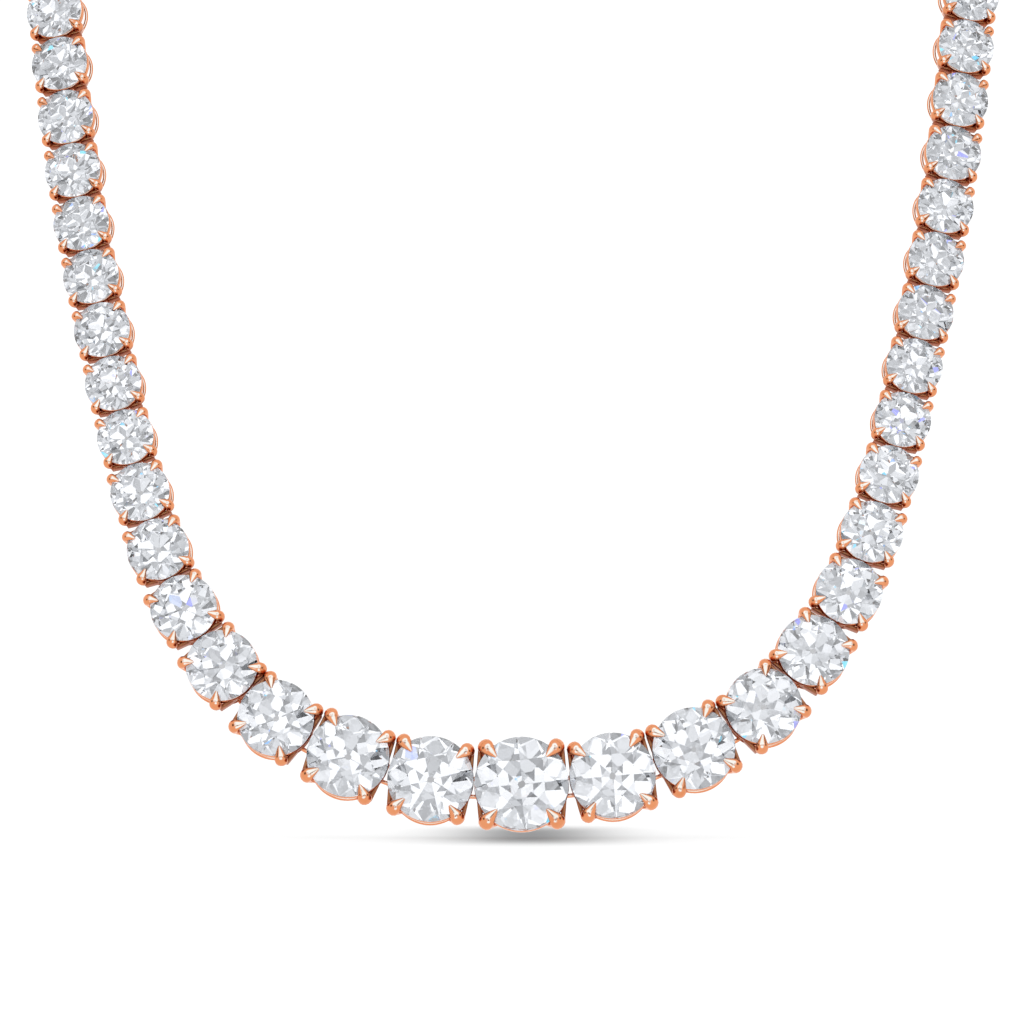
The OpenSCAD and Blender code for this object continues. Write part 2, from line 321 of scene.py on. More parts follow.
def ground_girdle(looks):
    """Bruted girdle: a finely pitted grey skin round the stone's edge."""
    skin = Finish(bpy.data.materials.new("ground_girdle"))
    place = skin.add("ShaderNodeTexCoord", out=3)
    pits = skin.add("ShaderNodeTexNoise", {}, {"Vector": place, "Scale": 9000.0, "Detail": 3.0, "Roughness": 0.7})
    bump = skin.add("ShaderNodeBump", {}, {"Strength": 0.4, "Distance": 0.00002, "Height": pits})
    shader = skin.add("ShaderNodeBsdfPrincipled", {}, {
        "Base Color": skin.blend(pits, (0.10, 0.095, 0.09, 1.0), (0.36, 0.35, 0.34, 1.0)),
        "Roughness": pits * 0.3 + 0.25, "Normal": bump, "Transmission Weight": 0.35, "IOR": looks.index})
    skin.add("ShaderNodeOutputMaterial", {}, {"Surface": shader})
    return skin.block


# Hands: selecting, entering edit mode, copying

def only(*pieces):
    bpy.ops.object.select_all(action="DESELECT")
    for piece in pieces:
        piece.select_set(True)
    bpy.context.view_layer.objects.active = pieces[0]


def edit(piece, test=None):
    """Enters edit mode with the points that pass the test selected, or all of them."""
    only(piece)
    mesh = piece.data
    for parts in (mesh.vertices, mesh.edges, mesh.polygons):
        parts.foreach_set("select", [False] * len(parts))
    for point in mesh.vertices:
        point.select = test is None or bool(test(point.co))
    bpy.ops.object.mode_set(mode="EDIT")
    bpy.ops.mesh.select_mode(type="VERT")


def called(piece, name):
    piece.name = piece.data.name = name
    return piece


def done(piece, name=None):
    bpy.ops.object.mode_set(mode="OBJECT")
    return called(piece, name) if name else piece


def settle(piece):
    """Puts a piece's place, turn and size into its mesh."""
    only(piece)
    bpy.ops.object.transform_apply(location=True, rotation=True, scale=True)
    return piece


def at_round(r, turn, z):
    return Vector((r * math.cos(turn), r * math.sin(turn), z))


def facet(place, normal):
    """Cuts away what lies beyond a plane and closes the cut."""
    bpy.ops.mesh.select_all(action="SELECT")
    bpy.ops.mesh.bisect(plane_co=place, plane_no=normal, use_fill=True, clear_outer=True, threshold=0.00001)


def tidy(piece):
    """Merges double points and points every face outwards."""
    edit(piece)
    bpy.ops.mesh.remove_doubles(threshold=MERGE)
    bpy.ops.mesh.normals_make_consistent(inside=False)
    return done(piece)


def smooth(piece, angle):
    only(piece)
    bpy.ops.object.shade_smooth_by_angle(angle=math.radians(angle))
    return piece


def copy_at(master, place, name):
    """A copy of a master with a mesh of its own, its place put into the mesh."""
    only(master)
    bpy.ops.object.duplicate()
    piece = called(bpy.context.object, name)
    piece.matrix_world = place
    return settle(piece)


def join(pieces, name):
    only(*pieces)
    if len(pieces) > 1:
        bpy.ops.object.join()
    return called(bpy.context.object, name)


def dress(piece, *finishes):
    piece.data.materials.clear()
    for finish in finishes:
        piece.data.materials.append(finish)
    return piece


def stand_for(piece, node, slot):
    piece.visible_transmission = slot == "stone"
    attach(piece, "root")
    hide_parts(node)
    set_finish(piece, slot)


def clear_away(masters):
    only(*masters)
    bpy.ops.object.delete()


# Places read from the frame

def solids(node):
    """The solids of a CAD node, each as an array of its points."""
    mesh = frame["nodes"][node].data
    numbers, points, links = {}, [], []
    for triangle in mesh.loop_triangles:
        corner = []
        for v in triangle.vertices:
            key = tuple(round(c * 1e7) for c in mesh.vertices[v].co)
            if key not in numbers:
                numbers[key] = len(points)
                points.append(mesh.vertices[v].co[:])
            corner.append(numbers[key])
        links.append(corner)
    root = list(range(len(points)))

    def top(i):
        while root[i] != i:
            root[i] = root[root[i]]
            i = root[i]
        return i

    for a, b, c in links:
        root[top(b)] = root[top(a)]
        root[top(c)] = root[top(a)]
    groups = {}
    for i, point in enumerate(points):
        groups.setdefault(top(i), []).append(point)
    return [np.array(group) for group in groups.values()]


def seat(points):
    """A stone's girdle middle, outward axis, width and table corners."""
    middle = points.mean(0)
    axis = np.linalg.svd(points - middle)[2][2]
    level = (points - middle) @ axis
    reach = np.linalg.norm(points - middle - np.outer(level, axis), axis=1)
    rim = points[reach > reach.max() * 0.995]
    middle = rim.mean(0)
    level = (points - middle) @ axis
    if -level.min() < level.max():
        axis, level = -axis, -level
    table = points[level > level.max() - 1e-5]
    return {"middle": Vector(middle), "out": Vector(axis), "width": 2 * float(reach.max()), "table": table}


def read_chain():
    """The stones in order round the loop, each with its axes along, across and out."""
    names = [f"stone_left_{i}" for i in range(OWN, 0, -1)] + ["stone_front"]
    names += [f"stone_right_{i}" for i in range(1, OWN + 1)]
    chain = []
    for name in names:
        frame["nodes"][name].data.calc_loop_triangles()
        chain.append(dict(seat(solids(name)[0]), node=name))
    frame["nodes"]["stones_back"].data.calc_loop_triangles()
    rest = [dict(seat(points), node="stones_back") for points in solids("stones_back")]
    while rest:
        rest.sort(key=lambda stone: (stone["middle"] - chain[-1]["middle"]).length)
        chain.append(rest.pop(0))
    for k, stone in enumerate(chain):
        way = chain[(k + 1) % len(chain)]["middle"] - chain[k - 1]["middle"]
        corners = [Vector(p) - stone["middle"] for p in stone["table"]]
        corners = [(c - c.dot(stone["out"]) * stone["out"]).normalized() for c in corners]
        stone["along"] = max(corners, key=lambda c: c.dot(way))
        stone["across"] = stone["out"].cross(stone["along"])
        stone["foot"] = stone["middle"] - stone["out"] * stone["width"] * DEPTH
    return chain


def axes_at(along, across, out, place):
    turn = Matrix((along, across, out)).transposed().to_4x4()
    return Matrix.Translation(place) @ turn


CHAIN = read_chain()
FRONT_W = CHAIN[OWN]["width"]


def side_of(k):
    """The node side of the stone at a place in the chain."""
    if k == OWN:
        return "front"
    middle = OWN + len(CHAIN) // 2
    return "right" if OWN < k <= middle else "left"


# Stones

def cut_stone(looks, name, seed, table, culet, half):
    """A round old cut of width 1, sawn from a cylinder facet by facet, with the small faults of hand work."""
    hand = random.Random(seed)
    t, crown, pav = table / 2, looks.crown / 100, looks.pavilion / 100
    g, c, eighth = looks.girdle / 200, culet / 2, math.radians(22.5)
    rise = (crown - g) / (0.5 - t)
    star_r = (0.5 + 3 * t) / 3.6
    star_z = g + (0.5 - star_r * math.cos(eighth)) * rise
    fall = (pav - g) / (0.5 - c * math.cos(eighth))
    half_z = -g - (0.5 - half * math.cos(eighth)) * fall

    def cut(place, normal):
        normal = Vector(normal).normalized()
        tip = Vector((hand.uniform(-1, 1), hand.uniform(-1, 1), 0)) * looks.hand * 0.7
        facet(place, (normal + tip).normalized())

    def cut_by(a, b, c):
        normal = (b - a).cross(c - a)
        cut((a + b + c) / 3, normal if normal.dot(a + b + c) > 0 else -normal)

    # A drum with a narrow slope along each edge of its girdle band
    bpy.ops.mesh.primitive_cylinder_add(vertices=looks.sides, radius=0.5, depth=2 * (g - EDGE / 2))
    stone = bpy.context.object
    for side, height in ((1, crown), (-1, pav)):
        edit(stone, lambda p: p.z * side > 0)
        bpy.ops.mesh.extrude_region_move(TRANSFORM_OT_translate={"value": (0, 0, side * EDGE)})
        bpy.ops.transform.resize(value=(1 - 2 * EDGE, 1 - 2 * EDGE, 1), center_override=(0, 0, 0))
        bpy.ops.mesh.extrude_region_move(TRANSFORM_OT_translate={"value": (0, 0, side * (height - g - EDGE / 2))})
        done(stone)
    edit(stone)
    for k in range(8):
        a = k * math.tau / 8
        b = a + eighth
        cut(at_round(0.5, a, g), (rise * math.cos(a), rise * math.sin(a), 1))
        cut(at_round(0.5, a, -g), (fall * math.cos(a), fall * math.sin(a), -1))
        edge = (crown - star_z) / (star_r - t * math.cos(eighth))
        cut(at_round(star_r, b, star_z), (edge * math.cos(b), edge * math.sin(b), 1))
        for side in (-1, 1):
            d = a + side * eighth
            cut_by(at_round(0.5, a, g), at_round(star_r, d, star_z), at_round(0.5, d, g))
            cut_by(at_round(0.5, a, -g), at_round(half, d, half_z), at_round(0.5, d, -g))
    bpy.ops.mesh.select_all(action="SELECT")
    bpy.ops.mesh.remove_doubles(threshold=0.0005)
    bpy.ops.mesh.normals_make_consistent(inside=False)
    done(stone, name)
    for face in stone.data.polygons:
        face.use_smooth = False
        rim = all(stone.data.vertices[v].co.xy.length > 0.5 - EDGE * 1.3 for v in face.vertices)
        face.material_index = 1 if rim else 0
    return stone


class CutStones(bpy.types.Operator):
    """Cuts the round stones of the chain and sets one for each stone of the frame"""
    bl_idname = "riviere.cut_stones"
    bl_label = "Cut the stones"

    def execute(self, context):
        looks = context.scene.riviere_stones
        share = looks.table / 100, looks.culet / 100
        cuts = [
            cut_stone(looks, "cut_a", 3, share[0], share[1], 0.25),
            cut_stone(looks, "cut_b", 5, share[0] - 0.03, share[1] + 0.012, 0.28),
            cut_stone(looks, "cut_c", 8, share[0] + 0.02, share[1] - 0.015, 0.22),
            cut_stone(looks, "cut_d", 13, share[0] - 0.015, share[1] + 0.005, 0.31),
        ]
        facets, girdle = brilliant(looks), ground_girdle(looks)
        for cut in cuts:
            dress(cut, facets, girdle)
        hand = random.Random(21)
        back = []
        for k, stone in enumerate(CHAIN):
            turn = Matrix.Rotation(hand.uniform(0, math.tau), 4, "Z")
            lean = Matrix.Rotation(math.radians(hand.uniform(-1.2, 1.2)), 4, "X")
            place = axes_at(stone["along"], stone["across"], stone["out"], stone["middle"])
            gem = copy_at(cuts[hand.randrange(4)], place @ lean @ turn @ Matrix.Scale(stone["width"], 4), f"gem_{k}")
            if stone["node"] == "stones_back":
                back.append(gem)
            else:
                called(gem, stone["node"].replace("stone", "gem"))
                stand_for(gem, stone["node"], "stone")
        stand_for(join(back, "gems_back"), "stones_back", "stone")
        clear_away(cuts)
        return {"FINISHED"}


# Claw baskets, modelled in millimetres at the front stone's size

CLAW = (
    # radius, height, thickness and width of the claw's wire from foot to point
    (4.32, -0.42, 0.60, 1.10),
    (4.36, -0.28, 0.88, 1.85),
    (4.42, 0.05, 1.00, 2.05),
    (4.68, 0.90, 1.00, 1.92),
    (4.98, 1.70, 1.10, 1.78),
    (5.30, 2.50, 1.24, 1.64),
    (5.47, 3.20, 1.36, 1.65),
    (5.44, 3.80, 1.44, 1.69),
    (5.20, 4.38, 1.22, 1.58),
    (4.86, 4.52, 0.86, 1.32),
    (4.44, 4.68, 0.56, 0.92),
    (4.08, 4.80, 0.34, 0.56),
    (3.78, 4.90, 0.16, 0.24),
)


# Place and lean of the flat filed on a claw, and the two steps of its bright border: width and depth
FLAT_AT = (5.0, 0, 4.93)
FLAT_LEAN = (0.04, 0, 1)
FLAT_STEPS = ((0.05, 0.0), (0.03, -0.035))
# Middle and size of a cheek, how far its far and low edges draw back, and its softening
CHEEK_AT = (4.36, 2.72, 1.9)
CHEEK_SIZE = (0.60, 2.2, 2.1)
CHEEK_FAR, CHEEK_LOW, CHEEK_SOFT = 0.17, 0.10, 0.12


def drawn_out(rows, steps):
    """Rows set smoothly between the given ones."""
    rows = [Vector(row) for row in rows]
    way = []
    for i in range(len(rows) - 1):
        a, b, c, d = rows[max(i - 1, 0)], rows[i], rows[i + 1], rows[min(i + 2, len(rows) - 1)]
        for j in range(steps):
            t = j / steps
            square, cube = 2 * a - 5 * b + 4 * c - d, 3 * b - a - 3 * c + d
            way.append((2 * b + (c - a) * t + square * t * t + cube * t ** 3) / 2)
    return way + [rows[-1]]


def forge_claw(looks, sides, steps):
    """A round wire drawn out ring by ring to a shoulder and a point, with a flat filed along its top."""
    swell = looks.claw_w / MM / 1.78
    rows = drawn_out(CLAW, steps)
    bpy.ops.mesh.primitive_circle_add(vertices=sides, radius=0.5, fill_type="NGON", location=(0, 0, 0))
    claw = bpy.context.object
    edit(claw)
    angle, size, here = 0.0, (1.0, 1.0), Vector((0, 0, 0))
    for k, row in enumerate(rows):
        after, before = rows[min(k + 1, len(rows) - 1)], rows[max(k - 1, 0)]
        way = Vector((after[0] - before[0], 0, after[1] - before[1])).normalized()
        turn = math.atan2(way.x, way.z)
        place = Vector((row[0], 0, row[1]))
        if k:
            bpy.ops.mesh.extrude_region_move(TRANSFORM_OT_translate={"value": place - here})
        else:
            bpy.ops.transform.translate(value=place - here)
        axes = Matrix.Rotation(angle, 3, "Y").transposed()
        new = (row[2], row[3] * swell)
        bpy.ops.transform.resize(
            value=(new[0] / size[0], new[1] / size[1], 1), orient_type="GLOBAL", orient_matrix_type="GLOBAL",
            orient_matrix=[list(r) for r in axes], center_override=place)
        bpy.ops.transform.rotate(value=angle - turn, orient_axis="Y", center_override=place)
        angle, size, here = turn, new, place
    bpy.ops.mesh.select_all(action="SELECT")
    bpy.ops.mesh.normals_make_consistent(inside=False)
    bpy.ops.mesh.bisect(
        plane_co=FLAT_AT, plane_no=Vector(FLAT_LEAN).normalized(), use_fill=True, clear_outer=True,
        threshold=0.00001)
    for width, depth in FLAT_STEPS:
        bpy.ops.mesh.inset(thickness=width, depth=depth)
    return done(claw, "claw")


def bend_rail(radius, level, wire, height, flat, sides, steps, oval=1.0):
    """A band with rounded edges and a flat inner side, spun into a ring that may be wider across the chain."""
    bpy.ops.mesh.primitive_circle_add(
        vertices=sides, radius=wire / 2, fill_type="NOTHING", location=(radius, 0, level),
        rotation=(math.pi / 2, 0, 0))
    rail = settle(bpy.context.object)
    edit(rail, lambda p: p.x < radius - wire * flat)
    bpy.ops.transform.resize(value=(0, 1, 1), center_override=(radius - wire * flat, 0, level))
    done(rail)
    for half in (-1, 1):
        edit(rail, lambda p: (p.z - level) * half > wire * 0.01)
        bpy.ops.transform.translate(value=(0, 0, half * (height - wire) / 2))
        done(rail)
    edit(rail)
    bpy.ops.mesh.spin(steps=steps, angle=math.tau, center=(0, 0, 0), axis=(0, 0, 1))
    bpy.ops.mesh.select_all(action="SELECT")
    bpy.ops.transform.resize(value=(1, oval, 1), center_override=(0, 0, level))
    done(rail, "rail")
    return tidy(rail)


def forge_basket(looks, name, sides, steps, ring, oval):
    """A basket at the front stone's size: two rails, four claws with a seat for the girdle, and their cheeks, with
    shade painted into the nooks that face the next basket.
    """
    claw = forge_claw(looks, sides, steps)
    seat_cutter = copy_seat()
    only(claw)
    seat_cut = claw.modifiers.new("seat", "BOOLEAN")
    seat_cut.operation, seat_cut.object, seat_cut.solver = "DIFFERENCE", seat_cutter, "EXACT"
    bpy.ops.object.modifier_apply(modifier="seat")
    parts = []
    for turn in (looks.claw_turn, math.pi - looks.claw_turn, math.pi + looks.claw_turn, -looks.claw_turn):
        parts.append(copy_at(claw, Matrix.Rotation(turn, 4, "Z"), "claw_part"))
    wire, low = looks.upper_wire / MM, looks.lower_wire / MM
    level = DEPTH * FRONT_W / MM - looks.upper_drop / MM + 0.1
    parts.append(bend_rail(FRONT_W / MM / 2 * 1.008 - wire / 2, level, wire, looks.upper_h / MM, 0.36, 14, ring))
    parts.append(bend_rail(looks.lower_d / MM / 2, 0, low, low, 0.36, 12, ring, oval))
    for side in (-1, 1):
        cheek = shape_cheek(side)
        parts += [cheek, copy_at(cheek, Matrix.Rotation(math.pi, 4, "Z"), "cheek")]
    clear_away([claw, seat_cutter])
    return paint_nook_shade(smooth(join(parts, name), 40))


def shape_cheek(side):
    """A softened plate that joins a claw to the rails on the side that meets the next basket, painted all over in the
    dark nook shade.
    """
    x, y, z = CHEEK_AT
    bpy.ops.mesh.primitive_cube_add(size=1, location=(x, side * y, z))
    cheek = bpy.context.object
    cheek.scale = CHEEK_SIZE
    settle(cheek)
    edit(cheek, lambda p: p.x > x and p.y * side > y)
    bpy.ops.transform.translate(value=(-CHEEK_FAR, 0, 0))
    done(cheek)
    edit(cheek, lambda p: p.x > x and p.z < z)
    bpy.ops.transform.translate(value=(-CHEEK_LOW, 0, 0))
    done(cheek)
    edit(cheek)
    bpy.ops.mesh.bevel(offset=CHEEK_SOFT, segments=2, affect="EDGES")
    done(cheek, "cheek")
    # Painted shade: the whole cheek takes the dark nook tone, as it fills the shaded gap between baskets
    mark = cheek.data.attributes.new("nook", "FLOAT", "POINT")
    mark.data.foreach_set("value", [1.0] * len(cheek.data.vertices))
    return cheek


def paint_nook_shade(basket):
    """Paints shade into the metal that looks along the chain, where neighbouring baskets shut the light out."""
    mesh = basket.data
    nook = mesh.attributes["nook"]
    for point, value in zip(mesh.vertices, nook.data):
        toward = point.normal.x * (1 if point.co.x > 0 else -1)
        deep = (3.9 - point.co.z) / 0.9
        between = (abs(point.co.x) - abs(point.co.y) * 0.55) / 1.2
        dark = min(1, max(0, toward * 2.8 - 1.2)) * min(1, max(0, deep)) * min(1, max(0, between))
        value.value = max(value.value, dark)
    return basket


def copy_seat():
    """A turned cutter a little larger than the stone, for the claws' seats."""
    w = FRONT_W / MM
    z = DEPTH * w
    bpy.ops.mesh.primitive_cylinder_add(vertices=64, radius=w * 0.503, depth=w * 0.7, location=(0, 0, z - w * 0.1))
    cutter = settle(bpy.context.object)
    edit(cutter)
    for k in range(32):
        a = k * math.tau / 32
        facet(at_round(w * 0.503, a, z + w * 0.016), (0.61 * math.cos(a), 0.61 * math.sin(a), 1))
        facet(at_round(w * 0.503, a, z - w * 0.016), (0.88 * math.cos(a), 0.88 * math.sin(a), -1))
    return done(cutter, "seat_cutter")


class ForgeBaskets(bpy.types.Operator):
    """Forges the claw baskets and sets one under each stone"""
    bl_idname = "riviere.forge_baskets"
    bl_label = "Forge the claw baskets"

    def execute(self, context):
        looks = context.scene.riviere_baskets
        oval = 1 + looks.oval / 100
        front = forge_basket(looks, "front_basket", 14, 2, 64, 1.0)
        fine = forge_basket(looks, "fine_basket", 14, 2, 64, oval)
        plain = forge_basket(looks, "plain_basket", 8, 1, 32, oval)
        # The baskets' metal carries painted shade in its nooks
        gold = rose_gold("polished_rose_gold", looks, 2600.0, looks.polish, shade_nooks=True)
        for master in (front, fine, plain):
            dress(master, gold)
        sides = {"front": [], "right": [], "left": []}
        for k, stone in enumerate(CHAIN):
            master = {"stones_back": plain, "stone_front": front}.get(stone["node"], fine)
            place = axes_at(stone["along"], stone["across"], stone["out"], stone["foot"])
            grow = Matrix.Scale(MM * stone["width"] / FRONT_W, 4)
            sides[side_of(k)].append(copy_at(master, place @ grow, "basket"))
        stand_for(join(sides["front"], "basket_front"), "setting_front", "setting")
        for side in ("right", "left"):
            stand_for(join(sides[side], f"baskets_{side}"), f"settings_{side}", "setting")
        clear_away([front, fine, plain])
        return {"FINISHED"}


# Links, modelled in millimetres

def rail_point(stone, looks, rail_r, toward, level):
    size = stone["width"] / FRONT_W
    spread = stone["width"] * looks.spread / 100
    reach = math.sqrt((rail_r * size) ** 2 - spread ** 2)
    return stone["foot"] + stone["along"] * toward * reach + stone["across"] * level * spread


def bend_link(name, start, end, out, bend, wire):
    """An oval link of round wire: a ring whose two halves are drawn apart along it."""
    along = (end - start).normalized()
    up = (out - out.dot(along) * along).normalized()
    pull = (end - start).length / 2 / MM
    bpy.ops.mesh.primitive_torus_add(
        major_segments=16, minor_segments=6, major_radius=bend / MM, minor_radius=wire / MM / 2,
        rotation=(math.pi / 2, 0, 0))
    link = settle(bpy.context.object)
    for half in (-1, 1):
        edit(link, lambda p: p.x * half > 0.01)
        bpy.ops.transform.translate(value=(half * pull, 0, 0))
        done(link)
    link.matrix_world = axes_at(along, up.cross(along), up, (start + end) / 2) @ Matrix.Scale(MM, 4)
    return called(settle(link), name)


# Height of the middle of the clasp's bars over its underside, in metres
BAR_UP = 0.0005


def read_clasp():
    """The clasp's axes and the middle between its two bars."""
    points = np.array([v.co[:] for v in frame["nodes"]["clasp"].data.vertices])
    middle = (points.max(0) + points.min(0)) / 2
    last, first = CHAIN[OWN + len(CHAIN) // 2], CHAIN[(OWN + len(CHAIN) // 2 + 1) % len(CHAIN)]
    along = (first["middle"] - last["middle"]).normalized()
    turns = np.linalg.svd(points - points.mean(0), full_matrices=False)[2]
    along = max((Vector(s * t) for t in turns for s in (-1, 1)), key=lambda t: t.dot(along))
    out = (last["out"] + first["out"]).normalized()
    out = max((Vector(s * t) for t in turns for s in (-1, 1)), key=lambda t: t.dot(out))
    across = out.cross(along)
    middle = Vector((0, 0, 0))
    for axis in (along, across, out):
        spans = points @ np.array(axis)
        level = spans.min() + BAR_UP if axis is out else (spans.min() + spans.max()) / 2
        middle += axis * level
    return along, across, out, middle


class BendLinks(bpy.types.Operator):
    """Bends the small oval links, two at each joint of the chain"""
    bl_idname = "riviere.bend_links"
    bl_label = "Bend the links"

    def execute(self, context):
        looks, baskets = context.scene.riviere_links, context.scene.riviere_baskets
        wire = rose_gold("rose_gold_wire", baskets, 5200.0, baskets.polish + 0.04)
        rail_r = baskets.lower_d / 2
        along, across, out, middle = read_clasp()
        clasp = context.scene.riviere_clasp
        half = len(CHAIN) // 2
        for side, way in (("right", 1), ("left", -1)):
            links = []
            for i in range(half + 1):
                stone = CHAIN[(OWN + way * i) % len(CHAIN)]
                size = stone["width"] / FRONT_W
                last = i == half
                after = None if last else CHAIN[(OWN + way * (i + 1)) % len(CHAIN)]
                for level in (-1, 1):
                    start = rail_point(stone, looks, rail_r, way, level)
                    if last:
                        spread = stone["width"] * looks.spread / 100
                        end = middle + along * -way * clasp.length / 2 + across * level * spread
                    else:
                        end = rail_point(after, looks, rail_r, -way, level)
                    up = stone["out"] + (out if last else after["out"])
                    rail = clasp.bar if last else baskets.lower_wire * size
                    bend = rail / 2 + looks.play + looks.wire / 2
                    links.append(bend_link("link", start, end, up, bend, looks.wire))
            piece = smooth(join(links, f"links_{side}_wire"), 80)
            dress(piece, wire)
            stand_for(piece, f"links_{side}", "link")
        return {"FINISHED"}


# Clasp, modelled in millimetres

# Steps of the panel sunk in the lid: width and depth
PANEL_STEPS = ((0.25, 0), (0.10, -0.10), (0.16, 0), (0.12, 0.09))
# Lower and upper edge of the seam as shares of the thickness, its depth, and how far an ear reaches in
SEAM = (0.52, 0.58)
SEAM_DEPTH = 0.06
EAR = 0.8


class MakeClasp(bpy.types.Operator):
    """Makes the plain box clasp at the nape, with a bar at each end for the last links"""
    bl_idname = "riviere.make_clasp"
    bl_label = "Make the clasp"

    def execute(self, context):
        looks, links, baskets = (getattr(context.scene, f"riviere_{n}") for n in ("clasp", "links", "baskets"))
        bar, thick, wide = looks.bar / MM, looks.thick / MM, looks.width / MM
        long = (looks.length - 2 * (looks.bar / 2 + 2 * links.play + links.wire)) / MM
        bpy.ops.mesh.primitive_cube_add(size=1, location=(0, 0, thick / 2 - bar))
        box = bpy.context.object
        box.scale = (long, wide, thick)
        settle(box)
        edit(box)
        bpy.ops.mesh.bevel(offset=looks.soften / MM, segments=4, affect="EDGES")
        bpy.ops.mesh.select_all(action="DESELECT")
        done(box, "box")
        for face in box.data.polygons:
            face.select = face.normal.z > 0.99 and face.area > 2
        bpy.ops.object.mode_set(mode="EDIT")
        bpy.ops.mesh.select_mode(type="FACE")
        for width, depth in PANEL_STEPS:
            bpy.ops.mesh.inset(thickness=width, depth=depth)
        done(box)
        # A fine seam round the box where its lid meets the body
        edit(box)
        for level in SEAM:
            bpy.ops.mesh.select_all(action="SELECT")
            bpy.ops.mesh.bisect(plane_co=(0, 0, thick * level - bar), plane_no=(0, 0, 1), threshold=0.00001)
        done(box)
        seam = thick * sum(SEAM) / 2 - bar
        edit(box, lambda p: abs(p.z - seam) < thick * 0.05)
        bpy.ops.mesh.select_mode(type="FACE")
        bpy.ops.mesh.extrude_region_shrink_fatten(TRANSFORM_OT_shrink_fatten={"value": -SEAM_DEPTH})
        done(box)
        parts = [box]
        for end in (-1, 1):
            parts.append(clasp_bar(bar, Vector((end * looks.length / MM / 2, 0, 0)), (math.pi / 2, 0, 0), wide))
            for y in (-1, 1):
                ear = wide / 2 - EAR - bar / 2
                reach = looks.length / MM / 2 - long / 2 + EAR
                middle = Vector((end * (looks.length / MM / 2 - reach / 2), y * ear, 0))
                parts.append(clasp_bar(bar * 0.9, middle, (0, math.pi / 2, 0), reach))
        clasp = tidy(join(parts, "box_clasp"))
        smooth(clasp, 30)
        clasp.matrix_world = axes_at(*read_clasp()) @ Matrix.Scale(MM, 4)
        settle(clasp)
        dress(clasp, rose_gold("brushed_rose_gold", baskets, 3400.0, baskets.polish + 0.07))
        stand_for(clasp, "clasp", "setting")
        return {"FINISHED"}


def clasp_bar(wire, middle, turn, length):
    """A round bar with softened ends."""
    bpy.ops.mesh.primitive_cylinder_add(vertices=16, radius=wire / 2, depth=length, location=middle, rotation=turn)
    bar = settle(bpy.context.object)
    edit(bar)
    bpy.ops.mesh.select_mode(type="FACE")
    bpy.ops.mesh.select_all(action="DESELECT")
    done(bar)
    for face in bar.data.polygons:
        face.select = len(face.vertices) > 4
    bpy.ops.object.mode_set(mode="EDIT")
    bpy.ops.mesh.bevel(offset=wire * 0.15, segments=2, affect="EDGES")
    return done(bar, "bar")


# Stage

# Waves that shade the stones' surroundings: direction and length of each, then its start. GREYS are its tones
WAVES = (
    ((-1.511, -1.162, -1.183), 5.72),
    ((-0.307, -2.019, -0.165), 0.94),
    ((-1.440, 1.344, 1.439), 2.33),
    ((2.149, 1.184, -0.082), 1.79),
    ((1.162, 2.035, -0.884), 0.11),
)
GREYS = (
    (0.028, (0.016, 0.016, 0.017, 1)), (0.196, (0.071, 0.072, 0.074, 1)), (0.300, (0.172, 0.176, 0.182, 1)),
    (0.375, (0.290, 0.296, 0.304, 1)), (0.488, (0.416, 0.424, 0.432, 1)), (0.596, (0.568, 0.576, 0.584, 1)),
    (0.660, (0.715, 0.720, 0.728, 1)), (0.686, (1.0, 1.0, 1.0, 1)),
)
# Reach of the stones' globe and of the metal's globe, and the middle of the latter
GLOBE = 3.0
METAL_GLOBE = 0.55
MIDDLE = Vector((0, -0.06, -0.09))


def dome(name, radius, centre, rays):
    """A globe round the necklace that only some rays see."""
    bpy.ops.mesh.primitive_ico_sphere_add(subdivisions=5, radius=radius, location=centre)
    globe = settle(called(bpy.context.object, name))
    for ray in ("camera", "diffuse", "glossy", "transmission", "volume_scatter", "shadow"):
        setattr(globe, f"visible_{ray}", ray in rays)
    return globe


